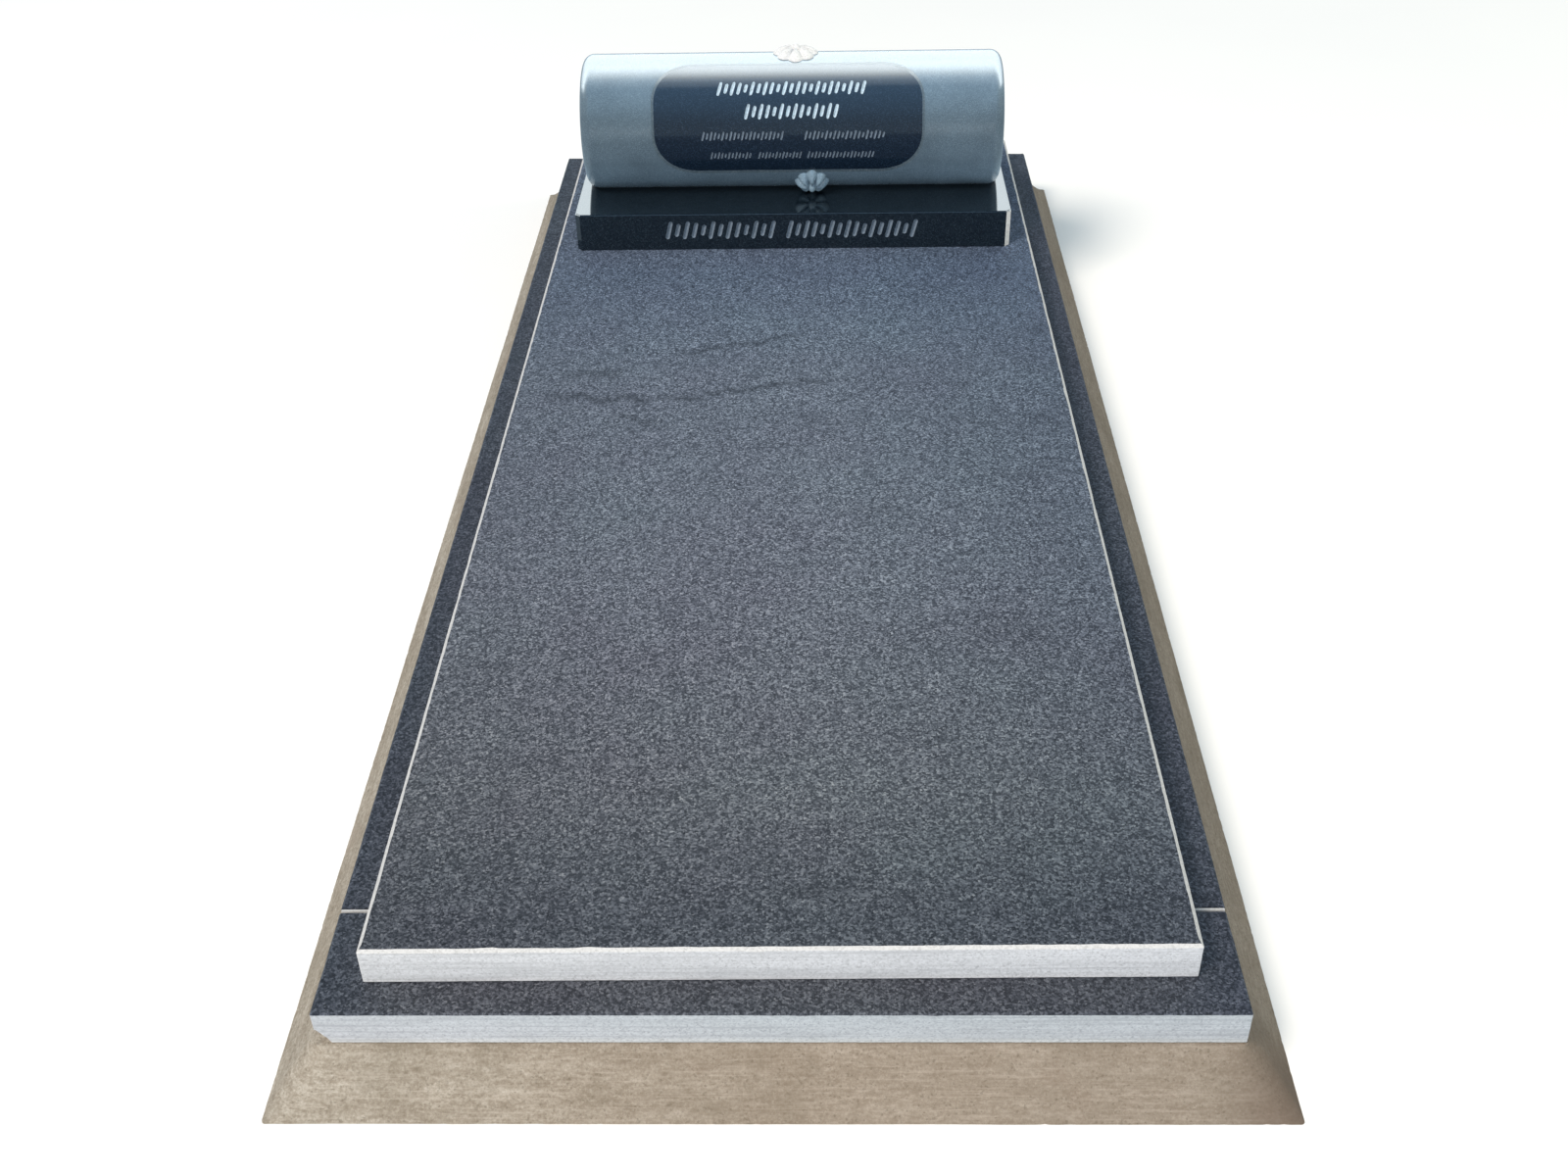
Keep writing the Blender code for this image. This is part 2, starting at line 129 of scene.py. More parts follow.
class Tree:
    """A short way to write a material's nodes."""

    def __init__(self, name):
        self.material = bpy.data.materials.new(name)
        self.material.use_nodes = True
        self.nodes = self.material.node_tree.nodes
        self.links = self.material.node_tree.links
        self.shader = self.nodes["Principled BSDF"]
        self.place = self.nodes.new("ShaderNodeTexCoord").outputs["Object"]

    def plug(self, socket, value):
        if isinstance(value, bpy.types.NodeSocket):
            self.links.new(value, socket)
        else:
            socket.default_value = value

    def scaled(self, scale):
        mapping = self.nodes.new("ShaderNodeMapping")
        self.links.new(self.place, mapping.inputs["Vector"])
        mapping.inputs["Scale"].default_value = scale
        return mapping.outputs["Vector"]

    def noise(self, scale, detail=3.0, rough=0.5, place=None):
        made = self.nodes.new("ShaderNodeTexNoise")
        self.links.new(place or self.place, made.inputs["Vector"])
        made.inputs["Scale"].default_value = scale
        made.inputs["Detail"].default_value = detail
        made.inputs["Roughness"].default_value = rough
        return made.outputs["Fac"]

    def stretched(self, scales, detail, rough):
        """Noise with its own scale along each axis."""
        return self.noise(1.0, detail, rough, self.scaled(scales))

    def grain(self, scale):
        """A random value for each crystal of a given size."""
        made = self.nodes.new("ShaderNodeTexVoronoi")
        self.links.new(self.place, made.inputs["Vector"])
        made.inputs["Scale"].default_value = scale
        split = self.nodes.new("ShaderNodeSeparateColor")
        self.links.new(made.outputs["Color"], split.inputs["Color"])
        return split.outputs["Red"]

    def math(self, kind, first, second=0.0):
        made = self.nodes.new("ShaderNodeMath")
        made.operation = kind
        self.plug(made.inputs[0], first)
        self.plug(made.inputs[1], second)
        return made.outputs[0]

    def blend(self, first, second, share):
        """The weighted sum of two values; share is the second's."""
        rest = self.math("MULTIPLY", first, 1 - share)
        return self.math("ADD", rest, self.math("MULTIPLY", second, share))

    def crystals(self, cells, cloud, detail=2):
        """The mean of crystals and a noise that breaks them up."""
        both = self.math("ADD", self.grain(cells), self.noise(cloud, detail, 0.6))
        return self.math("MULTIPLY", both, 0.5)

    def spread(self, value, low, high, to_low=0.0, to_high=1.0):
        made = self.nodes.new("ShaderNodeMapRange")
        made.interpolation_type = "SMOOTHSTEP"
        self.plug(made.inputs["Value"], value)
        made.inputs["From Min"].default_value = low
        made.inputs["From Max"].default_value = high
        made.inputs["To Min"].default_value = to_low
        made.inputs["To Max"].default_value = to_high
        return made.outputs["Result"]

    def ramp(self, value, stops):
        made = self.nodes.new("ShaderNodeValToRGB")
        set_stops(made, stops)
        self.plug(made.inputs["Fac"], value)
        return made.outputs["Color"]

    def mix(self, share, first, second, kind="MIX"):
        made = self.nodes.new("ShaderNodeMix")
        made.data_type = "RGBA"
        made.blend_type = kind
        self.plug(made.inputs["Factor"], share)
        for socket, value in ((made.inputs[6], first), (made.inputs[7], second)):
            if isinstance(value, tuple):
                value = (*value, 1)
            self.plug(socket, value)
        return made.outputs[2]

    def along(self, axis, low, high):
        """How far a point lies from low to high along one axis, from 0 to 1."""
        split = self.nodes.new("ShaderNodeSeparateXYZ")
        self.links.new(self.place, split.inputs[0])
        made = self.nodes.new("ShaderNodeMapRange")
        self.links.new(split.outputs[axis], made.inputs["Value"])
        made.inputs["From Min"].default_value = low
        made.inputs["From Max"].default_value = high
        return made.outputs["Result"]

    def drift(self, colour, axis, low, high, stops):
        """Multiplies a colour by tones that change along one axis."""
        tones = [((place - low) / (high - low), tone) for place, tone in stops]
        return self.mix(1.0, colour, self.ramp(self.along(axis, low, high), tones), "MULTIPLY")

    def bump(self, height, distance, strength=1.0, normal=None):
        made = self.nodes.new("ShaderNodeBump")
        made.inputs["Strength"].default_value = strength
        made.inputs["Distance"].default_value = distance
        self.links.new(height, made.inputs["Height"])
        if normal:
            self.links.new(normal, made.inputs["Normal"])
        return made.outputs["Normal"]

    def finish(self, colour, roughness, normal=None, ior=1.5, specular=0.5):
        self.plug(self.shader.inputs["Base Color"], colour)
        self.plug(self.shader.inputs["Roughness"], roughness)
        self.shader.inputs["IOR"].default_value = ior
        self.shader.inputs["Specular IOR Level"].default_value = specular
        if normal:
            self.links.new(normal, self.shader.inputs["Normal"])
        return self.material


# Materials

# The scales of crystals and noise are counts to the metre.

# Each mark's left and right ends, its half width and its strength
WATER_MARKS = (
    ((-0.20, 0.166), (0.06, 0.242), 0.014, 0.60),
    ((-0.36, 0.095), (-0.24, 0.123), 0.024, 0.45),
    ((-0.38, 0.037), (-0.18, 0.026), 0.016, 0.60),
    ((-0.22, 0.026), (0.12, 0.093), 0.013, 0.60),
    ((-0.27, -0.018), (-0.18, -0.045), 0.016, 0.45),
    ((0.23, -0.030), (0.31, -0.066), 0.016, 0.40),
)
WATER_SWAY = 0.08
WATER_TONE = (0.030, 0.034, 0.042)
POLISH_IOR = 1.6


def shaded(stops, shade):
    """The same tones, made paler or darker."""
    return [(place, tuple(shade * part for part in tone)) for place, tone in stops]


def polished_granite(name, shade, drift, across, worn=False):
    """Salt and pepper granite: dark and grey crystals with a few pale ones, honed smooth."""
    tree = Tree(name)
    tones = (
        (0.0, (0.030, 0.033, 0.040)),
        (0.35, (0.062, 0.068, 0.080)),
        (0.70, (0.115, 0.124, 0.142)),
        (0.93, (0.170, 0.182, 0.200)),
        (1.0, (0.270, 0.280, 0.295)),
    )
    crystal = tree.spread(tree.crystals(430, 330), 0.18, 0.86)
    stone = tree.ramp(crystal, shaded(tones, shade))
    fleck = tree.spread(tree.grain(760), 0.84, 0.90)
    stone = tree.mix(tree.math("MULTIPLY", fleck, 0.6), stone, (0.016, 0.018, 0.024))
    cloud = tree.ramp(tree.noise(3.0, 5, 0.6), ((0.3, (0.86, 0.82, 0.85)), (0.7, (0.96, 1.0, 0.98))))
    stone = tree.mix(1.0, stone, cloud, "MULTIPLY")
    smear = tree.stretched((3.5, 14, 1), 5, 0.65)
    stone = tree.mix(tree.spread(smear, 0.56, 0.76, 0.0, 0.35), stone, (0.040, 0.044, 0.054))
    if worn:
        stone = tree.mix(water_marks(tree), stone, WATER_TONE)
    # Painted sheen along the slab and painted shade across it
    stone = tree.drift(stone, "Y", LEDGER_LOW.y, LEDGER_HIGH.y, drift)
    stone = tree.drift(stone, "X", PLINTH_LOW.x, PLINTH_HIGH.x, across)
    rough = tree.spread(tree.noise(14, 4, 0.6), 0.3, 0.7, 0.50, 0.62)
    normal = tree.bump(crystal, 0.0002, 0.3)
    return tree.finish(stone, rough, normal, specular=0.35)


def water_marks(tree):
    """The soft dark wavy marks across the slab, below the headstone."""
    sway = tree.math("SUBTRACT", tree.stretched((17, 1.5, 1), 4, 0.6), 0.5)
    sway = tree.math("MULTIPLY", sway, WATER_SWAY)
    split = tree.nodes.new("ShaderNodeSeparateXYZ")
    tree.links.new(tree.place, split.inputs[0])
    marks = 0.0
    for (left, first), (right, last), width, strength in WATER_MARKS:
        share = tree.along("X", left, right)
        middle = tree.math("ADD", tree.math("MULTIPLY", share, last - first), first)
        off = tree.math("SUBTRACT", tree.math("ADD", split.outputs["Y"], sway), middle)
        line = tree.spread(tree.math("ABSOLUTE", off), 0.0, width, strength, 0.0)
        ends = tree.math("MULTIPLY", tree.spread(share, 0.0, 0.2), tree.spread(share, 0.7, 1.0, 1.0, 0.0))
        marks = tree.math("MAXIMUM", marks, tree.math("MULTIPLY", line, ends))
    return tree.math("MULTIPLY", marks, tree.spread(tree.noise(50, 3, 0.7), 0.3, 0.6, 0.4, 1.0))


def sawn_granite(name, node, rise, across):
    """The pale, unpolished sides: faint grey crystals in stone dust, with fine saw lines."""
    tree = Tree(name)
    tones = ((0.0, 0.66), (0.12, 0.84), (0.5, 0.95), (1.0, 1.06))
    crystal = tree.spread(tree.crystals(520, 300, 3), 0.15, 0.85)
    stone = tree.ramp(crystal, [(stop, (tone,) * 3) for stop, tone in tones])
    dark = (0.66,) * 3
    lines = tree.stretched((5, 5, 430), 3, 0.6)
    stone = tree.mix(tree.spread(lines, 0.42, 0.72, 0.0, 0.60), stone, dark)
    patch = tree.spread(tree.stretched((7, 7, 30), 4, 0.6), 0.45, 0.75, 0.0, 0.35)
    stone = tree.mix(patch, stone, dark)
    low, high = (corner[2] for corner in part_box(node))
    # Tones up the face; on the kerbs this is painted shade high up
    stone = tree.drift(stone, "Z", low, high, [(low + share * (high - low), tone) for share, tone in rise])
    # Painted light across the face, paler to the left
    stone = tree.drift(stone, "X", PLINTH_LOW.x, PLINTH_HIGH.x, across)
    normal = tree.bump(tree.noise(520, 3), 0.0004, 0.4)
    normal = tree.bump(lines, 0.0004, 0.5, normal)
    return tree.finish(stone, 0.85, normal, specular=0.25)


def ground_arris(name, shade):
    """The ground edges, paler than the sawn faces."""
    tree = Tree(name)
    tones = ((0.0, 0.80), (0.3, 0.95), (1.0, 1.06))
    tint = (0.96, 0.98, 1.0)
    tones = [(stop, tuple(shade * tone * part for part in tint)) for stop, tone in tones]
    stone = tree.ramp(tree.grain(520), tones)
    normal = tree.bump(tree.noise(600, 3), 0.0003, 0.3)
    return tree.finish(stone, 0.88, normal, specular=0.2)


def mirror_granite(name, tones, rough_scale, rough_low, rough_high):
    """Near-black granite with a high polish and a faint fine crystal."""
    tree = Tree(name)
    stone = tree.ramp(tree.grain(800), tones)
    rough = tree.spread(tree.noise(rough_scale, 4, 0.6), 0.3, 0.75, rough_low, rough_high)
    return tree.finish(stone, rough, ior=POLISH_IOR)


def honed_granite(name, shade=1.0):
    """The lighter blue-grey of the roll round its panel, with painted light that makes it palest low down."""
    tree = Tree(name)
    tones = (
        (0.0, (0.105, 0.156, 0.205)),
        (0.5, (0.132, 0.199, 0.259)),
        (0.9, (0.156, 0.230, 0.296)),
        (1.0, (0.225, 0.315, 0.385)),
    )
    crystal = tree.spread(tree.crystals(900, 620), 0.15, 0.85)
    stone = tree.ramp(crystal, shaded(tones, shade))
    cloud = tree.spread(tree.noise(14, 4, 0.6), 0.3, 0.7, 0.90, 1.10)
    stone = tree.mix(1.0, stone, cloud, "MULTIPLY")
    low = ROLL_AXIS.z - ROLL_RADIUS
    high = ROLL_AXIS.z + ROLL_RADIUS
    # Painted light round the roll, palest low down and paler again towards its top
    painted_light_stops = []
    for turn, tone in ROLL_PAINTED_LIGHT_TURN:
        painted_light_stops.append((ROLL_AXIS.z + ROLL_RADIUS * math.cos(math.radians(turn)), (tone,) * 3))
    stone = tree.drift(stone, "Z", low, high, painted_light_stops)
    # Painted light towards the roll's right end
    stone = tree.drift(stone, "X", -ROLL_LENGTH / 2, ROLL_LENGTH / 2, ROLL_SIDE_PAINTED_LIGHT)
    rough = tree.spread(tree.noise(60, 3, 0.6), 0.3, 0.7, 0.17, 0.23)
    normal = tree.bump(tree.noise(900, 2), 0.0001, 0.08)
    return tree.finish(stone, rough, normal, ior=POLISH_IOR)


def ground_rim(name):
    """The narrow slope between the roll's face and its sunk panel."""
    tree = Tree(name)
    tones = ((0.0, (0.040, 0.062, 0.080)), (0.6, (0.052, 0.078, 0.100)), (1.0, (0.090, 0.120, 0.145)))
    stone = tree.ramp(tree.grain(620), tones)
    # Painted highlight: the rim made paler towards the roll's top, where the light falls
    rim_painted_highlight = tree.spread(tree.along("Z", ROLL_AXIS.z, ROLL_AXIS.z + ROLL_RADIUS), 0.74, 0.92, 0.0, 0.40)
    stone = tree.mix(rim_painted_highlight, stone, (0.62, 0.68, 0.72))
    normal = tree.bump(tree.noise(700, 2), 0.0002, 0.4)
    return tree.finish(stone, 0.5, normal)


def stroke_fill(name, colour):
    """The silver colour in the cut strokes, thin in places."""
    tree = Tree(name)
    worn = tree.spread(tree.noise(240, 4, 0.65), 0.42, 0.72, 0.0, 0.65)
    dark = tuple(0.35 * channel for channel in colour)
    paint = tree.mix(worn, colour, dark)
    normal = tree.bump(tree.noise(900, 3), 0.0003, 0.5)
    return tree.finish(paint, 0.55, normal)


def mortar(name):
    """Tan sandy mortar with short brush marks along each side and pale and dark grains."""
    tree = Tree(name)
    tones = (
        (0.05, (0.215, 0.176, 0.134)),
        (0.40, (0.318, 0.271, 0.217)),
        (0.62, (0.395, 0.349, 0.289)),
        (0.95, (0.560, 0.508, 0.442)),
    )
    streak = tree.stretched((75, 75, 340), 4, 0.6)
    marks = tree.blend(streak, tree.noise(330, 4, 0.7), 0.55)
    marks = tree.blend(marks, tree.stretched((9, 9, 60), 3, 0.6), 0.25)
    body = tree.ramp(tree.spread(marks, 0.26, 0.74), tones)
    brushed = tree.spread(tree.along("X", -0.45, 0.25), 0.0, 1.0, 0.0, 0.35)
    line = tree.spread(tree.stretched((11, 11, 560), 3, 0.5), 0.56, 0.66, 0.0, 0.28)
    grains = tree.grain(520)
    pale_grain = tree.spread(grains, 0.84, 0.96, 0.0, 0.35)
    dark_grain = tree.spread(grains, 0.08, 0.02, 0.0, 0.35)
    stain = tree.spread(tree.noise(6, 5, 0.65), 0.46, 0.74, 0.0, 0.40)
    rust = tree.spread(tree.noise(9, 4, 0.6), 0.56, 0.76, 0.0, 0.40)
    layers = (
        (brushed, (0.378, 0.330, 0.272)),
        (line, (0.560, 0.500, 0.430)),
        (pale_grain, (0.50, 0.45, 0.38)),
        (dark_grain, (0.13, 0.11, 0.08)),
        (stain, (0.215, 0.185, 0.140)),
        (rust, (0.270, 0.195, 0.150)),
    )
    for share, tone in layers:
        body = tree.mix(share, body, tone)
    fade = ((-0.5, (0.76, 0.79, 0.81)), (0.0, (0.62, 0.60, 0.59)), (0.5, (0.58, 0.57, 0.57)))
    body = tree.drift(body, "X", PLINTH_LOW.x, PLINTH_HIGH.x, fade)
    right = tree.spread(tree.along("X", PLINTH_HIGH.x - 0.10, PLINTH_HIGH.x - 0.01), 0.0, 1.0)
    front = tree.spread(tree.along("Y", PLINTH_LOW.y, PLINTH_LOW.y + 0.14), 0.2, 1.0, 0.75, 0.0)
    body = tree.mix(tree.math("MULTIPLY", right, front), body, (0.112, 0.085, 0.068))
    normal = tree.bump(tree.noise(420, 5, 0.7), 0.0010, 0.5)
    normal = tree.bump(streak, 0.0010, 0.5, normal)
    return tree.finish(body, 0.93, normal, specular=0.2)


def grout(name):
    tree = Tree(name)
    tones = ((0.3, (0.36, 0.37, 0.38)), (0.6, (0.50, 0.51, 0.52)), (0.8, (0.60, 0.61, 0.62)))
    body = tree.ramp(tree.noise(300, 4, 0.7), tones)
    normal = tree.bump(tree.noise(700, 4, 0.7), 0.0006, 0.6)
    return tree.finish(body, 0.9, normal, specular=0.3)


def floor_material(name):
    tree = Tree(name)
    tone = tree.ramp(tree.noise(0.8, 3), ((0.3, (0.84, 0.85, 0.86)), (0.7, (0.87, 0.88, 0.88))))
    return tree.finish(tone, 0.95, specular=0.0)


BLACK_TONES = ((0.0, (0.002, 0.004, 0.008)), (0.75, (0.004, 0.009, 0.015)), (1.0, (0.016, 0.026, 0.036)))
PANEL_TONES = ((0.0, (0.002, 0.006, 0.014)), (0.75, (0.005, 0.012, 0.025)), (1.0, (0.014, 0.026, 0.046)))
# Painted sheen along the slabs' length, standing in for their reflection: the ledger darker at its foot,
# paler in the middle and bluer towards its head; the kerb tops a little bluer towards the head
LEDGER_PAINTED_SHEEN = (
    (-1.00, (0.42, 0.43, 0.46)),
    (-0.82, (0.65, 0.66, 0.67)),
    (-0.45, (0.74, 0.76, 0.83)),
    (0.10, (0.73, 0.82, 0.93)),
    (0.45, (0.59, 0.71, 0.91)),
)
KERB_PAINTED_SHEEN = ((-1.0, (0.67, 0.67, 0.70)), (0.4, (0.66, 0.68, 0.74)))
# Painted shade across the ledger: darker towards both long sides, most of all and bluer on the right
LEDGER_PAINTED_SHADE = (
    (-0.42, (0.84, 0.84, 0.84)),
    (-0.22, (0.93, 0.94, 0.94)),
    (0.05, (0.94, 0.94, 0.95)),
    (0.25, (0.84, 0.87, 0.89)),
    (0.42, (0.72, 0.75, 0.80)),
)
# Painted shade across the kerb tops: darker and bluer on the side kerbs, where the ledger's edge shades them
KERB_PAINTED_SHADE = (
    (-0.46, (0.70, 0.76, 0.84)),
    (-0.36, (0.95, 0.96, 0.98)),
    (0.10, (0.92, 0.92, 0.95)),
    (0.34, (0.80, 0.84, 0.88)),
    (0.46, (0.66, 0.70, 0.82)),
)
# Painted light on the roll: its tone at degrees from its top, palest low down where light from below is
# painted in
ROLL_PAINTED_LIGHT_TURN = ((130, 0.92), (108, 0.59), (90, 0.50), (68, 0.48), (47, 0.63))
# Painted light: the roll's right end made paler
ROLL_SIDE_PAINTED_LIGHT = ((0.0, (1.0, 1.0, 1.0)), (0.25, (1.12, 1.12, 1.13)))
LEDGER_RISE = ((0.0, (0.54, 0.55, 0.57)), (0.2, (0.51, 0.53, 0.56)), (1.0, (0.51, 0.53, 0.56)))
# Painted shade: the kerbs' sawn faces darker and bluer above their lowest fifth
KERB_FACE_PAINTED_SHADE = ((0.0, (0.47, 0.48, 0.47)), (0.2, (0.38, 0.40, 0.42)), (1.0, (0.37, 0.40, 0.42)))
# Painted light across the sawn faces: paler to the left, darker to the right, the kerbs' also bluer
KERB_SIDE_PAINTED_LIGHT = ((-0.46, (1.08, 1.08, 1.12)), (0.0, (0.97, 1.0, 1.04)), (0.46, (0.94, 0.97, 1.02)))
SAWN_PAINTED_LIGHT = ((-0.46, (1.0, 1.0, 1.0)), (0.46, (0.97, 0.98, 1.0)))

POLISHED = polished_granite("honed_grey_granite", 1.99, LEDGER_PAINTED_SHEEN, LEDGER_PAINTED_SHADE, worn=True)
KERB_TOP = polished_granite("honed_kerb_granite", 1.13, KERB_PAINTED_SHEEN, KERB_PAINTED_SHADE)
SAWN = sawn_granite("sawn_ledger_granite", "ledger", LEDGER_RISE, SAWN_PAINTED_LIGHT)
KERB_SIDE = sawn_granite("sawn_kerb_granite", "kerb_front", KERB_FACE_PAINTED_SHADE, KERB_SIDE_PAINTED_LIGHT)
ARRIS = ground_arris("ground_arris", 0.50)
BLACK = mirror_granite("polished_black_granite", BLACK_TONES, 30, 0.04, 0.09)
HONED = honed_granite("honed_blue_granite")
# Painted light: the two rosettes are the same carved stone in two tones; the top one is painted pale as in
# the light on the roll's top, and the low one is the roll's blue-grey painted paler by light from below
CREST = ground_arris("painted_highlight_carved_granite", 0.64)
FLOWER = honed_granite("painted_light_carved_granite", 1.3)
PANEL = mirror_granite("polished_panel_granite", PANEL_TONES, 40, 0.12, 0.17)
BRIGHT_FILL = stroke_fill("bright_stroke_fill", (0.44, 0.55, 0.64))
DIM_FILL = stroke_fill("dim_stroke_fill", (0.14, 0.18, 0.23))
MORTAR = mortar("brushed_mortar")
GROUT = grout("white_pointing")
RIM = ground_rim("ground_panel_rim")


# Mesh helpers


def as_object(name, form, materials):
    """Turns a bmesh into a shown object."""
    mesh = bpy.data.meshes.new(name)
    form.to_mesh(mesh)
    form.free()
    for made in materials:
        mesh.materials.append(made)
    piece = bpy.data.objects.new(name, mesh)
    bpy.context.scene.collection.objects.link(piece)
    return piece


def crease(piece, degrees):
    """Shades the edges sharper than an angle as sharp."""
    piece.data.set_sharp_from_angle(angle=math.radians(degrees))


def cut(piece, tool, operation="DIFFERENCE"):
    """Applies one Boolean at once, and deletes the tool."""
    change = piece.modifiers.new("cut", "BOOLEAN")
    change.operation = operation
    change.solver = "EXACT"
    change.object = tool
    evaluated = piece.evaluated_get(bpy.context.evaluated_depsgraph_get())
    mesh = bpy.data.meshes.new_from_object(evaluated)
    old = piece.data
    piece.modifiers.clear()
    piece.data = mesh
    mesh.name = old.name
    bpy.data.meshes.remove(old)
    bpy.data.objects.remove(tool, do_unlink=True)


def show(piece, node):
    """The piece stands for a node of the frame and rides on the part's one body."""
    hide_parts(node)
    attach(piece, "root")


INWARD = (Vector((-1, 0, 0)), Vector((0, -1, 0)), Vector((1, 0, 0)), Vector((0, 1, 0)))
ARC_STEPS = 4


def outline(low, high, corner, counts, give=0.0):
    """Points round a rectangle with rounded corners, and the way each may move inward.

    A straight side's points move freely, a corner's by the share that give allows.
    """
    found = []
    centres = (
        (high.x - corner, low.y + corner, -90),
        (high.x - corner, high.y - corner, 0),
        (low.x + corner, high.y - corner, 90),
        (low.x + corner, low.y + corner, 180),
    )
    arcs = []
    for x, y, start in centres:
        arc = []
        for index in range(ARC_STEPS + 1):
            turn = math.radians(start + 90 * index / ARC_STEPS)
            away = Vector((math.cos(turn), math.sin(turn), 0))
            arc.append((Vector((x, y, 0)) + corner * away, -give * away))
        arcs.append(arc)
    for index, arc in enumerate(arcs):
        found += arc
        start = arc[-1][0]
        after = arcs[(index + 1) % 4][0][0]
        count = counts[1 - index % 2]
        inward = INWARD[index]
        for part in range(1, count):
            found.append((start.lerp(after, part / count), inward))
    return found


def side_counts(low, high, step):
    """How many steps go along the X sides and the Y sides."""
    return tuple(max(2, round((high[axis] - low[axis]) / step)) for axis in (0, 1))


def add_rings(form, rings, slots):
    """Joins closed rings of points with quads; slots gives each band's material."""
    made = [[form.verts.new(point) for point in ring] for ring in rings]
    for first, second, slot in zip(made, made[1:], slots):
        count = len(first)
        for index in range(count):
            after = (index + 1) % count
            face = form.faces.new((first[index], first[after], second[after], second[index]))
            face.material_index = slot
            face.smooth = True
    return made


# Slabs

SLAB_TOP, SLAB_SIDE, SLAB_ARRIS = range(3)
LEDGER_MATERIALS = (POLISHED, SAWN, ARRIS)
KERB_MATERIALS = (KERB_TOP, KERB_SIDE, KERB_TOP)
SLAB_SHAPE = {"corner": 0.002, "step": 0.006, "relief": 0.0004, "rows": 9, "band": 0.003, "foot": 0.0012}
SLAB_CREASE = 25
GROUT_SHAPE = {"corner": 0.0003, "step": 0.002, "relief": 0.00015, "rows": 3, "band": 0.0004, "foot": 0.0003}
GROUT_ARRIS = 0.0004
GROUT_CREASE = 40
RIM_CORNER = 0.0002
SIDE_ARRIS_GAIN = 0.5
ARRIS_DROP = 1.1
ARRIS_DIP = 0.5
ARRIS_LEAST = 0.6
ARRIS_WAVER = 0.22
ARRIS_CHIP = 3
CHIP_RARITY = 0.42
CHIP_SEED = Vector((7, 3, 1))
CHIP_RIDGE = 0.015
CHIP_CRUMB = 0.012


def arris_wear(point, arris):
    """How much wider the ground edge is at a point, with a chip here and there."""
    wear = ARRIS_WAVER * arris * noise.noise(point * 55)
    chip = max(0.0, noise.noise(point * 23 + CHIP_SEED) - CHIP_RARITY)
    return wear + ARRIS_CHIP * arris * chip * (0.6 + 0.4 * noise.noise(point * 210))


def slab_form(low, high, arris, corner, step, relief, rows, band, foot):
    """A sawn slab with a ground top edge whose width wavers, and small chips."""
    form = bmesh.new()
    counts = side_counts(low, high, step)
    path = outline(low, high, corner, counts, give=1.0)
    below = low.z + foot
    above = high.z - ARRIS_DROP * arris
    heights = [low.z, below] + [below + (above - below) * row / rows for row in range(1, rows + 1)]
    rings = []
    for height in heights:
        ring = []
        for point, inward in path:
            place = Vector((point.x, point.y, height))
            fine = 0.5 + 0.5 * noise.noise(place * 140)
            broad = 0.5 + 0.5 * noise.noise(place * 35)
            dent = relief * (fine + 0.5 * broad)
            if height == low.z:
                dent += foot
            if height == above:
                place.z -= min(ARRIS_DIP * arris, max(0.0, arris_wear(point, arris)))
            ring.append(place + inward * dent)
        rings.append(ring)
    for width, sway in ((arris, 1.0), (arris + band, 0.0)):
        shift = Vector((width, width, 0))
        rim = []
        for point, inward in outline(low + shift, high - shift, max(corner - width, RIM_CORNER), counts):
            place = Vector((point.x, point.y, high.z))
            wear = max(-ARRIS_LEAST * arris, arris_wear(place, arris))
            wear += SIDE_ARRIS_GAIN * arris * abs(inward.x)
            rim.append(place + sway * wear * inward)
        rings.append(rim)
    made = add_rings(form, rings, [SLAB_SIDE] * (len(rings) - 3) + [SLAB_ARRIS, SLAB_TOP])
    bottom = form.faces.new(list(reversed(made[0])))
    bottom.material_index = SLAB_SIDE
    top = form.faces.new(made[-1])
    top.material_index = SLAB_TOP
    return form


def make_slab(name, node, arris, materials, skew=0.0):
    """A granite slab in a node's box; skew is how far its foot end is cut out of square."""
    low, high = (Vector(corner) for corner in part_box(node))
    low.y += skew * high.x
    form = slab_form(low, high, arris, **SLAB_SHAPE)
    for vertex in form.verts:
        share = (high.y - vertex.co.y) / (high.y - low.y)
        vertex.co.y += skew * vertex.co.x * share
    piece = as_object(name, form, materials)
    crease(piece, SLAB_CREASE)
    show(piece, node)
    return piece


def chip_kerb(piece):
    """Breaks the lower left corner off the front kerb."""
    low = Vector(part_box("kerb_front")[0])
    form = bmesh.new()
    bmesh.ops.create_icosphere(form, subdivisions=6, radius=CHIP_RADIUS)
    for vertex in form.verts:
        swell = CHIP_RIDGE * math.sin(900 * vertex.co.x + 500 * vertex.co.z)
        vertex.co *= 1 + swell + CHIP_CRUMB * noise.noise(vertex.co * 260)
    bmesh.ops.translate(form, vec=low - CHIP_RADIUS * CHIP_OFFSET, verts=form.verts)
    for face in form.faces:
        face.material_index = SLAB_SIDE
    cut(piece, as_object("chip_tool", form, KERB_MATERIALS))
    crease(piece, SLAB_CREASE)


def make_grout(node):
    """A hand-filled joint, a little sunk and uneven on top."""
    low, high = (Vector(corner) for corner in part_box(node))
    form = slab_form(low, high, GROUT_ARRIS, **GROUT_SHAPE)
    piece = as_object(f"{node}_bead", form, (GROUT, GROUT, GROUT))
    crease(piece, GROUT_CREASE)
    show(piece, node)


# Plinth

PLINTH_FOOT_CORNER = 0.005
PLINTH_WAIST_CORNER = 0.032
PLINTH_SWELL = 0.6
PLINTH_ROWS = 24
PLINTH_STEP = 0.0042
PLINTH_CORNER_GIVE = 0.8
PLINTH_UNDER_KERB = 0.012
PLINTH_CREASE = 50
STREAK_DEPTH = 0.0007
PIT_DEPTH = 0.0030
PIT_RARITY = 0.35
HOLLOW_DEPTH = 0.0011
CRUMB_DEPTH = 0.0004


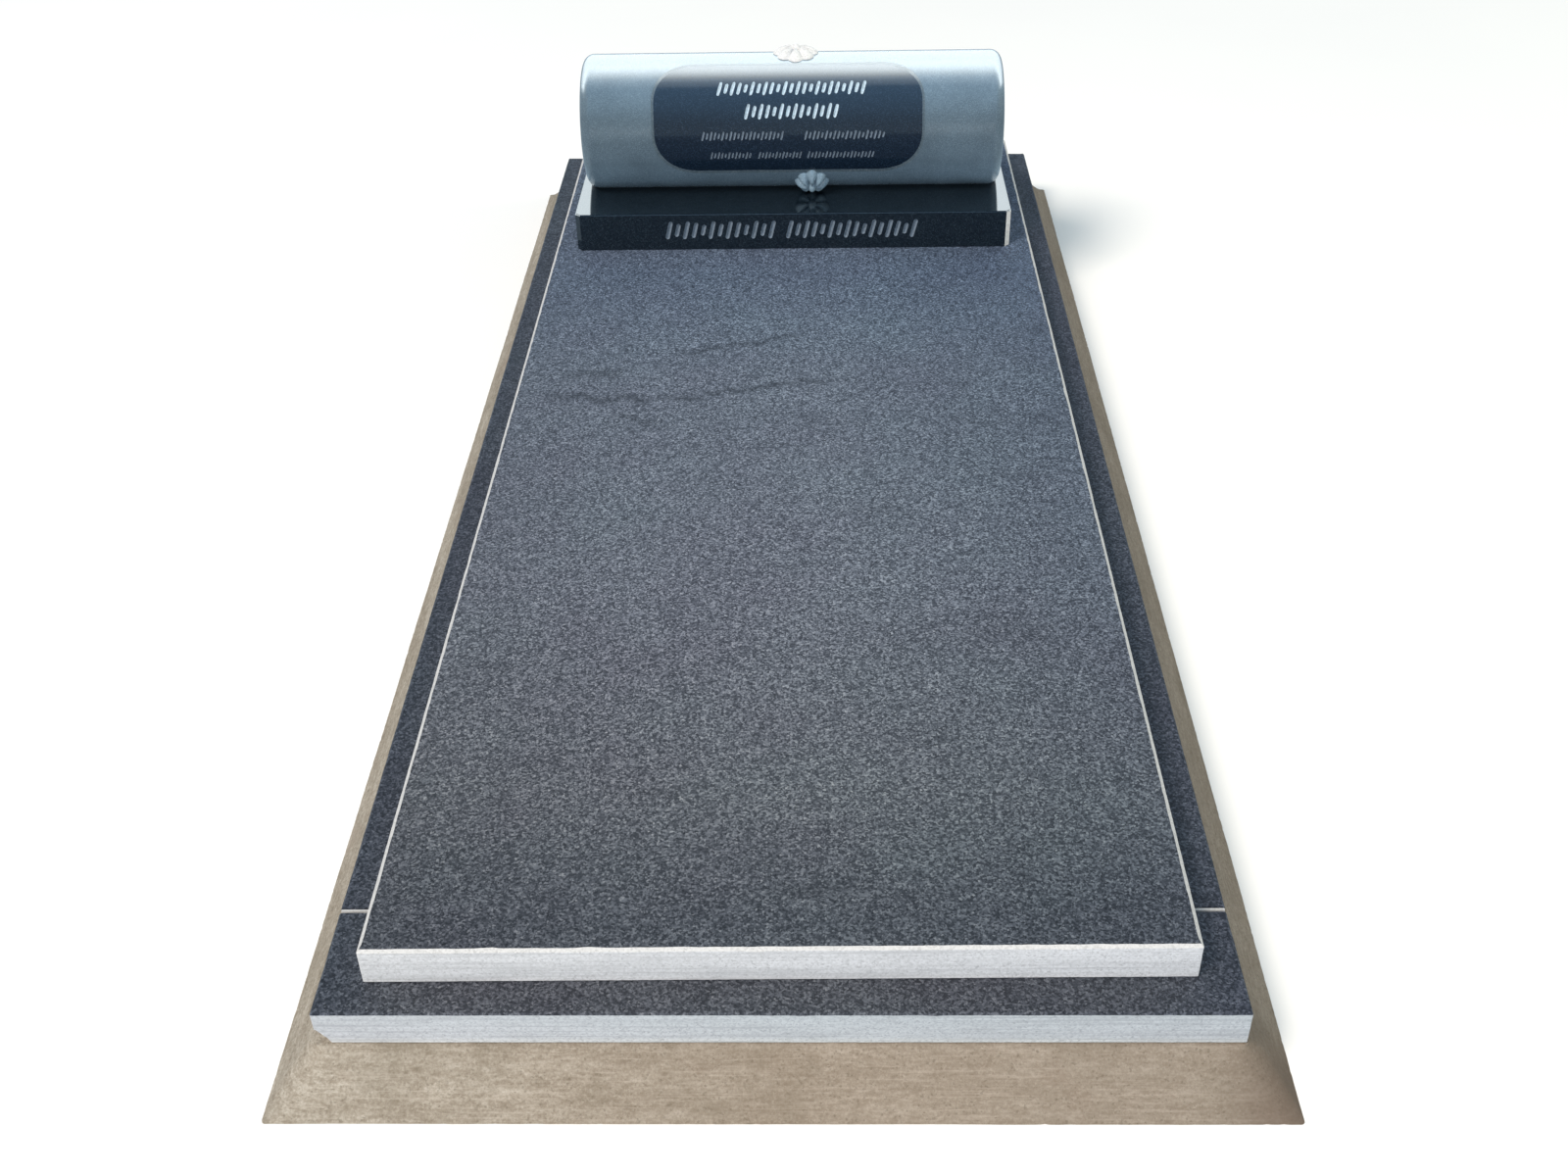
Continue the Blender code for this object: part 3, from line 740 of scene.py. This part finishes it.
def mortar_dent(place):
    """How deep the brushed mortar lies below its straight slope."""
    streak = 0.5 + 0.5 * noise.noise(Vector((place.x * 60, place.y * 60, place.z * 300)))
    pits = max(0.0, noise.noise(place * 190) - PIT_RARITY)
    hollow = 0.5 + 0.5 * noise.noise(place * 9)
    crumb = 0.5 + 0.5 * noise.noise(place * 420)
    return STREAK_DEPTH * streak + PIT_DEPTH * pits + HOLLOW_DEPTH * hollow + CRUMB_DEPTH * crumb


def make_plinth():
    """Sloped mortar with brush streaks, softened corners and a wavering foot."""
    form = bmesh.new()
    run = PLINTH_SLOPE - PLINTH_LEDGE
    counts = side_counts(PLINTH_LOW, PLINTH_HIGH, PLINTH_STEP)
    height = PLINTH_HIGH.z
    tilt = math.atan2(run, height)
    rings = []
    for row in range(PLINTH_ROWS + 1):
        share = row / PLINTH_ROWS
        shift = Vector((run * share, run * share, 0))
        swell = math.sin(math.pi * share) ** PLINTH_SWELL
        corner = PLINTH_FOOT_CORNER + (PLINTH_WAIST_CORNER - PLINTH_FOOT_CORNER) * swell
        path = outline(PLINTH_LOW + shift, PLINTH_HIGH - shift, corner, counts, PLINTH_CORNER_GIVE)
        ring = []
        for point, inward in path:
            place = Vector((point.x, point.y, height * share))
            dent = mortar_dent(place)
            place += inward * dent * math.cos(tilt)
            if 0 < row:
                place.z -= min(place.z, dent * math.sin(tilt))
            ring.append(place)
        rings.append(ring)
    shift = Vector((run + PLINTH_UNDER_KERB, run + PLINTH_UNDER_KERB, 0))
    under = []
    for point, inward in outline(PLINTH_LOW + shift, PLINTH_HIGH - shift, PLINTH_FOOT_CORNER, counts):
        under.append(Vector((point.x, point.y, height)))
    rings.append(under)
    made = add_rings(form, rings, [0] * (len(rings) - 1))
    form.faces.new(list(reversed(made[0])))
    form.faces.new(made[-1])
    piece = as_object("brushed_plinth", form, (MORTAR,))
    crease(piece, PLINTH_CREASE)
    show(piece, "concrete_plinth")


# Cut strokes


def stroke_places(height, width, groups):
    """Where each stroke of a row goes: its middle across the row and its length."""
    for centre, share in groups:
        length = share * width
        count = max(1, round(length / (STROKE_PITCH * height)))
        for index in range(count):
            across = centre * width + (index - (count - 1) / 2) * length / count
            yield across, height * STROKE_LENGTHS[index % len(STROKE_LENGTHS)]


def add_stroke(form, height, length, place, slot):
    """A round-ended chisel cut, open to +Z before place moves it."""
    half_width = STROKE_WIDTH * height / 2
    depth = STROKE_DEPTH * height
    half_length = length / 2
    stations = 13
    section = ((-1.0, 1.0), (-1.0, 0.0), (-0.55, -0.62), (0.0, -1.0), (0.55, -0.62), (1.0, 0.0), (1.0, 1.0))
    loops = []
    for station in range(stations):
        along = -math.cos(math.pi * station / (stations - 1))
        reach = abs(along) * half_length - (half_length - half_width)
        taper = math.sqrt(max(0.02, 1 - max(0.0, reach / half_width) ** 2))
        loop = []
        for across, down in section:
            drop = depth * down if down > 0 else depth * down * taper
            loop.append(form.verts.new(Vector((half_width * across * taper, half_length * along, drop))))
        loops.append(loop)
    faces = []
    size = len(section)
    for first, second in zip(loops, loops[1:]):
        for index in range(size):
            after = (index + 1) % size
            faces.append(form.faces.new((first[index], first[after], second[after], second[index])))
    faces.append(form.faces.new(list(reversed(loops[0]))))
    faces.append(form.faces.new(loops[-1]))
    for face in faces:
        face.material_index = slot
        face.smooth = True
    moved = [vertex for loop in loops for vertex in loop]
    slant = Matrix.Rotation(-STROKE_SLANT, 4, "Z")
    bmesh.ops.transform(form, matrix=place @ slant, verts=moved)


def as_tool(name, form, materials):
    """A closed cutter with its faces turned outward."""
    bmesh.ops.recalc_face_normals(form, faces=form.faces)
    return as_object(name, form, materials)


# Base block

BASE_FACE, BASE_EDGE, BASE_STROKE = range(3)
BASE_CREASE = 30
BASE_MATERIALS = (BLACK, ARRIS, DIM_FILL)


def make_base():
    """The polished block: ground upright corners, a fine top arris and a row of strokes."""
    form = bmesh.new()
    middle = (BASE_LOW + BASE_HIGH) / 2
    size = BASE_HIGH - BASE_LOW
    place = Matrix.Translation(middle) @ Matrix.Diagonal((*size, 1))
    bmesh.ops.create_cube(form, size=1, matrix=place)
    uprights = [edge for edge in form.edges if abs(edge.verts[0].co.z - edge.verts[1].co.z) > 0.01]
    flat = {"offset_type": "OFFSET", "affect": "EDGES"}
    bmesh.ops.bevel(form, geom=uprights, offset=BASE_CORNER, segments=1, material=BASE_EDGE, **flat)
    for face in form.faces:
        if face.calc_center_median().x < 0:
            face.material_index = BASE_FACE
    tops = [edge for edge in form.edges if all(vertex.co.z > BASE_HIGH.z - 1e-5 for vertex in edge.verts)]
    bmesh.ops.bevel(form, geom=tops, offset=ARRIS_BASE, segments=3, material=BASE_FACE, **flat)
    base = as_object("polished_base", form, BASE_MATERIALS)
    row = bmesh.new()
    facing = Matrix.Rotation(math.radians(90), 4, "X")
    height = BASE_ROW_HEIGHT * size.z
    rise = BASE_LOW.z + BASE_ROW_RISE * size.z
    for across, length in stroke_places(height, size.x, BASE_ROW_GROUPS):
        add_stroke(row, height, length, Matrix.Translation((across, BASE_LOW.y, rise)) @ facing, BASE_STROKE)
    cut(base, as_tool("base_stroke_tool", row, BASE_MATERIALS))
    crease(base, BASE_CREASE)
    show(base, "headstone_base")
    return base


# Roll

ROLL_FACE, ROLL_PANEL, ROLL_RIM, ROLL_BRIGHT, ROLL_DIM, ROLL_CREST, ROLL_FLOWER = range(7)
ROLL_MATERIALS = (HONED, PANEL, RIM, BRIGHT_FILL, DIM_FILL, CREST, FLOWER)
ROLL_CREASE = 32
ROUND_TOLERANCE = 0.0002
ROUND_FACING = 0.95
PETAL_NOTCH = 0.14
VEIN_DEPTH = 0.0007
VEIN_WIDTH = 0.012


def on_roll(across, angle, radius):
    """A point at an angle from the top of the roll towards the foot."""
    return ROLL_AXIS + Vector((across, -radius * math.sin(angle), radius * math.cos(angle)))


def roll_frame(across, angle, radius):
    """A frame on the roll: X along it, Y up its face, Z out of it."""
    return Matrix.Translation(on_roll(across, angle, radius)) @ Matrix.Rotation(angle, 4, "X")


def roll_blank():
    """The round stone with softened ends, finely divided."""
    sides = 240
    columns = 48
    edge_steps = 8
    flat = ROLL_LENGTH / 2 - ROLL_EDGE_RADIUS
    profile = []
    for step in range(edge_steps + 1):
        turn = math.radians(90) * step / edge_steps
        inset = ROLL_EDGE_RADIUS * (1 - math.sin(turn))
        drop = ROLL_EDGE_RADIUS * (1 - math.cos(turn))
        profile.append((ROLL_LENGTH / 2 - drop, ROLL_RADIUS - inset))
    middle = [(flat - 2 * flat * column / columns, ROLL_RADIUS) for column in range(1, columns)]
    profile += middle + [(-along, radius) for along, radius in reversed(profile)]
    form = bmesh.new()
    angles = [math.tau * side / sides for side in range(sides)]
    rings = [[on_roll(along, angle, radius) for angle in angles] for along, radius in profile]
    made = add_rings(form, rings, [ROLL_FACE] * (len(rings) - 1))
    form.faces.new(made[0])
    form.faces.new(made[-1])
    return as_tool("carved_roll", form, ROLL_MATERIALS)


def panel_half_width(height, half_height, inset):
    """Half the width of the rounded panel at a height above its middle."""
    corner = PANEL_CORNER - inset
    over = max(0.0, abs(height) - (half_height - corner))
    return PANEL_WIDTH / 2 - inset - corner + math.sqrt(max(0.0, corner**2 - over**2))


def panel_tool():
    """The sunk panel: a rounded sheet bent round the roll, narrower at its bottom."""
    steps = 90
    columns = 30
    middle = (PANEL_TOP_ANGLE + PANEL_BOTTOM_ANGLE) / 2
    full_height = ROLL_RADIUS * (PANEL_BOTTOM_ANGLE - PANEL_TOP_ANGLE) / 2
    flare = PANEL_BEVEL * CUTTER_MARGIN / PANEL_DEPTH
    form = bmesh.new()
    sheets = []
    for radius, inset in ((ROLL_RADIUS - PANEL_DEPTH, PANEL_BEVEL), (ROLL_RADIUS + CUTTER_MARGIN, -flare)):
        half_height = full_height - inset
        sheet = []
        for step in range(steps + 1):
            height = half_height * math.sin(math.radians(90) * (2 * step / steps - 1))
            angle = middle - height / ROLL_RADIUS
            half_width = panel_half_width(height, half_height, inset)
            shares = [2 * column / columns - 1 for column in range(columns + 1)]
            sheet.append(
                [form.verts.new(on_roll(PANEL_SHIFT + share * half_width, angle, radius)) for share in shares]
            )
        sheets.append(sheet)
    inner, outer = sheets
    for sheet, slot in ((inner, ROLL_PANEL), (outer, ROLL_RIM)):
        for first, second in zip(sheet, sheet[1:]):
            for column in range(columns):
                corners = (first[column], first[column + 1], second[column + 1], second[column])
                form.faces.new(corners).material_index = slot
    walls = []
    for step in range(steps):
        for side in (0, -1):
            walls.append((inner[step][side], inner[step + 1][side], outer[step + 1][side], outer[step][side]))
    for step in (0, -1):
        for column in range(columns):
            after = column + 1
            walls.append((inner[step][column], inner[step][after], outer[step][after], outer[step][column]))
    for corners in walls:
        form.faces.new(corners).material_index = ROLL_RIM
    return as_tool("panel_tool", form, ROLL_MATERIALS)


def panel_stroke_tool():
    """All the rows of strokes in the panel; the upper rows are filled brighter."""
    form = bmesh.new()
    floor = ROLL_RADIUS - PANEL_DEPTH
    for index, (angle, span, groups) in enumerate(PANEL_ROWS):
        height = span * floor
        slot = ROLL_BRIGHT if index < BRIGHT_ROWS else ROLL_DIM
        for across, length in stroke_places(height, PANEL_WIDTH, groups):
            add_stroke(form, height, length, roll_frame(across, angle, floor), slot)
    return as_tool("panel_stroke_tool", form, ROLL_MATERIALS)


def rosette_rim(turn, radius):
    """A rosette's reach in one direction, longest along each petal."""
    return radius * (1 - PETAL_NOTCH + PETAL_NOTCH * abs(math.cos(ROSETTE_PETALS * turn / 2)))


def rosette_height(share, turn, radius, relief):
    """How far a rosette stands out at a share of its radius in one direction."""
    petal = abs(math.cos(ROSETTE_PETALS * turn / 2))
    cup = math.sin(math.pi * (0.12 + 0.88 * share)) ** 0.7
    leaf = ROSETTE_LEAF * relief * cup * (0.55 + 0.45 * petal)
    vein = VEIN_DEPTH * math.exp(-(((1 - petal) / VEIN_WIDTH) ** 2)) * cup
    across = share * rosette_rim(turn, radius) / ROSETTE_BOSS
    boss = relief * math.sqrt(max(0.0, 1 - across**2))
    return max(leaf - vein, boss)


def rosette(name, across, angle, radius, relief, slot):
    """A round flower of cupped petals round a boss."""
    form = bmesh.new()
    steps = ROSETTE_PETALS * 20
    ring_count = 26

    def place(share, turn, height):
        reach = share * rosette_rim(turn, radius)
        side = reach * math.cos(turn)
        down = reach * math.sin(turn)
        return on_roll(across + side, angle + down / ROLL_RADIUS, ROLL_RADIUS + height)

    top = form.verts.new(place(0, 0, relief))
    root = form.verts.new(place(0, 0, -radius / 2))
    turns = [math.tau * step / steps for step in range(steps)]
    rings = []
    for ring in range(1, ring_count):
        share = ring / ring_count
        rings.append([place(share, turn, rosette_height(share, turn, radius, relief)) for turn in turns])
    rings.append([place(1, turn, -ROSETTE_ROOT) for turn in turns])
    made = add_rings(form, rings, [slot] * (len(rings) - 1))
    for step in range(steps):
        after = (step + 1) % steps
        for corners in ((top, made[0][step], made[0][after]), (root, made[-1][after], made[-1][step])):
            face = form.faces.new(corners)
            face.material_index = slot
            face.smooth = True
    return as_tool(name, form, ROLL_MATERIALS)


def seat_tool():
    margin = 0.05
    form = bmesh.new()
    low = ROLL_AXIS - Vector((ROLL_LENGTH / 2 + margin, ROLL_RADIUS, ROLL_RADIUS + margin))
    high = Vector((ROLL_LENGTH / 2 + margin, ROLL_AXIS.y + ROLL_RADIUS, ROLL_SEAT))
    place = Matrix.Translation((low + high) / 2) @ Matrix.Diagonal((*(high - low), 1))
    bmesh.ops.create_cube(form, size=1, matrix=place)
    return as_tool("seat_tool", form, ROLL_MATERIALS)


def round_shading(piece):
    """Shades the roll and its panel as true cylinders, whatever the cuts did to their faces."""
    mesh = piece.data
    for polygon in mesh.polygons:
        polygon.use_smooth = True
    crease(piece, ROLL_CREASE)
    normals = [Vector(corner.vector) for corner in mesh.corner_normals]
    radii = {ROLL_FACE: ROLL_RADIUS, ROLL_PANEL: ROLL_RADIUS - PANEL_DEPTH}
    for polygon in mesh.polygons:
        radius = radii.get(polygon.material_index)
        if not radius:
            continue
        for loop in polygon.loop_indices:
            offset = mesh.vertices[mesh.loops[loop].vertex_index].co - ROLL_AXIS
            away = Vector((0, offset.y, offset.z))
            on_surface = abs(away.length - radius) < ROUND_TOLERANCE
            if on_surface and polygon.normal.dot(away.normalized()) > ROUND_FACING:
                normals[loop] = away.normalized()
    mesh.normals_split_custom_set(normals)


def make_roll():
    roll = roll_blank()
    cut(roll, panel_tool())
    cut(roll, panel_stroke_tool())
    top = (TOP_ROSETTE_X, TOP_ROSETTE_ANGLE, TOP_ROSETTE_RADIUS, TOP_ROSETTE_RELIEF, ROLL_CREST)
    low = (LOW_ROSETTE_X, LOW_ROSETTE_ANGLE, LOW_ROSETTE_RADIUS, LOW_ROSETTE_RELIEF, ROLL_FLOWER)
    cut(roll, rosette("top_rosette_tool", *top), "UNION")
    cut(roll, rosette("low_rosette_tool", *low), "UNION")
    cut(roll, seat_tool())
    round_shading(roll)
    show(roll, "headstone_roll")
    return roll


# Camera, lights and floor


def make_camera():
    data = bpy.data.cameras.new("photo_camera")
    data.sensor_width = SENSOR
    data.lens = SENSOR * FOCAL_PIXELS / PHOTO_WIDTH
    camera = bpy.data.objects.new("photo_camera", data)
    bpy.context.scene.collection.objects.link(camera)
    forward = Vector(
        (
            math.sin(CAMERA_YAW) * math.cos(CAMERA_PITCH),
            math.cos(CAMERA_YAW) * math.cos(CAMERA_PITCH),
            -math.sin(CAMERA_PITCH),
        )
    )
    level = Vector((math.cos(CAMERA_YAW), -math.sin(CAMERA_YAW), 0))
    down = forward.cross(level)
    right = math.cos(CAMERA_ROLL) * level + math.sin(CAMERA_ROLL) * down
    up = math.sin(CAMERA_ROLL) * level - math.cos(CAMERA_ROLL) * down
    turn = Matrix((right, up, -forward)).transposed().to_4x4()
    place = Vector((0, LEDGER_FRONT, LEDGER_HIGH.z)) + CAMERA_FROM_LEDGER
    camera.matrix_world = Matrix.Translation(place) @ turn
    bpy.context.scene.camera = camera


def area_light(name, place, target, size, power, colour, gloss):
    """A soft rectangular light that faces a point. It shows only in gloss, or else it only lights."""
    data = bpy.data.lights.new(name, "AREA")
    data.shape = "RECTANGLE"
    data.size, data.size_y = size
    data.energy = power
    data.color = colour
    light = bpy.data.objects.new(name, data)
    bpy.context.scene.collection.objects.link(light)
    light.location = place
    light.rotation_euler = (Vector(target) - Vector(place)).to_track_quat("-Z", "Y").to_euler()
    light.visible_camera = False
    light.visible_diffuse = not gloss
    light.visible_glossy = gloss
    return light


def fade_light(data, strengths):
    """Sets a light's strength at places along its length, from its low end."""
    data.use_nodes = True
    nodes = data.node_tree.nodes
    links = data.node_tree.links
    surface = nodes.new("ShaderNodeNewGeometry")
    split = nodes.new("ShaderNodeSeparateXYZ")
    links.new(surface.outputs["Parametric"], split.inputs[0])
    ramp = nodes.new("ShaderNodeValToRGB")
    set_stops(ramp, [(place, (strength,) * 3) for place, strength in strengths])
    links.new(split.outputs["Y"], ramp.inputs["Fac"])
    links.new(ramp.outputs["Color"], nodes["Emission"].inputs["Strength"])


def softbox(name, low, high, width, power, colour, fade):
    """A panel between a low and a high edge that the polish reflects."""
    along = high - low
    middle = (low + high) / 2
    facing = Vector((0, -along.z, along.y)).normalized()
    if facing.z > 0:
        facing.negate()
    light = area_light(name, middle, middle + facing, (width, along.length), power, colour, gloss=True)
    fade_light(light.data, fade)
    return light


# Strengths at places along a softbox, from its low edge to its high one
HEAD_FADE = (
    (0.0, 0.10),
    (0.25, 0.25),
    (0.40, 0.42),
    (0.53, 0.66),
    (0.60, 0.62),
    (0.68, 0.41),
    (0.75, 0.20),
    (0.83, 0.09),
    (1.0, 0.03),
)
SKY_FADE = ((0.0, 0.0), (0.25, 0.16), (0.75, 0.84), (1.0, 1.0))

# Each light's name, place, target, size, power and colour
PLAIN_LIGHTS = (
    ("key", (-7.2, -7.2, 12.4), (0, 0, 0), (5.2, 5.2), 2800, (1.0, 0.87, 0.74)),
    ("foot_fill", (0.3, -10, 0.9), (0, 0, 0.1), (5.0, 1.6), 400, (1.0, 0.96, 0.92)),
    ("right_fill", (10, 0, 2.8), (0, 0, 0.1), (3.0, 3.0), 440, (1.0, 0.89, 0.62)),
)

# Each softbox's name, low and high edges from the roll's axis, width, power, colour and strengths
SOFTBOXES = (
    ("head_softbox", Vector((0, 2.6, 0.10)), Vector((0, -0.6, 2.9)), 7.0, 1620, (0.88, 0.97, 1.0), HEAD_FADE),
    ("sky_softbox", Vector((0, 0.3, 2.9)), Vector((0, -5.0, 1.34)), 4.0, 70, (0.22, 0.55, 1.0), SKY_FADE),
)
WORLD_TONE = (0.36, 0.47, 0.56)
FLOOR_HALF = 30
FLOOR_DROP = 0.0005


def make_studio(polished_pieces):
    """A pale floor, a key light from the front left, and softboxes that the polish reflects."""
    form = bmesh.new()
    bmesh.ops.create_grid(form, x_segments=1, y_segments=1, size=FLOOR_HALF)
    floor = as_object("floor", form, (floor_material("pale_floor"),))
    floor.location.z = -FLOOR_DROP
    floor.visible_glossy = False
    world = bpy.data.worlds.new("studio")
    bpy.context.scene.world = world
    world.use_nodes = True
    background = world.node_tree.nodes["Background"]
    background.inputs["Color"].default_value = (*WORLD_TONE, 1)
    background.inputs["Strength"].default_value = 1.0
    for light in PLAIN_LIGHTS:
        area_light(*light, gloss=False)
    polished = bpy.data.collections.new("polished_stones")
    for piece in polished_pieces:
        polished.objects.link(piece)
    for name, low, high, *rest in SOFTBOXES:
        light = softbox(name, ROLL_AXIS + low, ROLL_AXIS + high, *rest)
        light.light_linking.receiver_collection = polished
    bpy.context.scene.view_settings.view_transform = "Standard"


make_camera()
make_plinth()
for side in ("front", "back", "left", "right"):
    kerb = make_slab(f"sawn_kerb_{side}", f"kerb_{side}", ARRIS_KERB, KERB_MATERIALS)
    if side == "front":
        chip_kerb(kerb)
for end in ("front", "back"):
    for hand in ("left", "right"):
        make_grout(f"grout_{end}_{hand}")
make_slab("sawn_ledger", "ledger", ARRIS_LEDGER, LEDGER_MATERIALS, LEDGER_SKEW)
base = make_base()
roll = make_roll()
make_studio((base, roll))
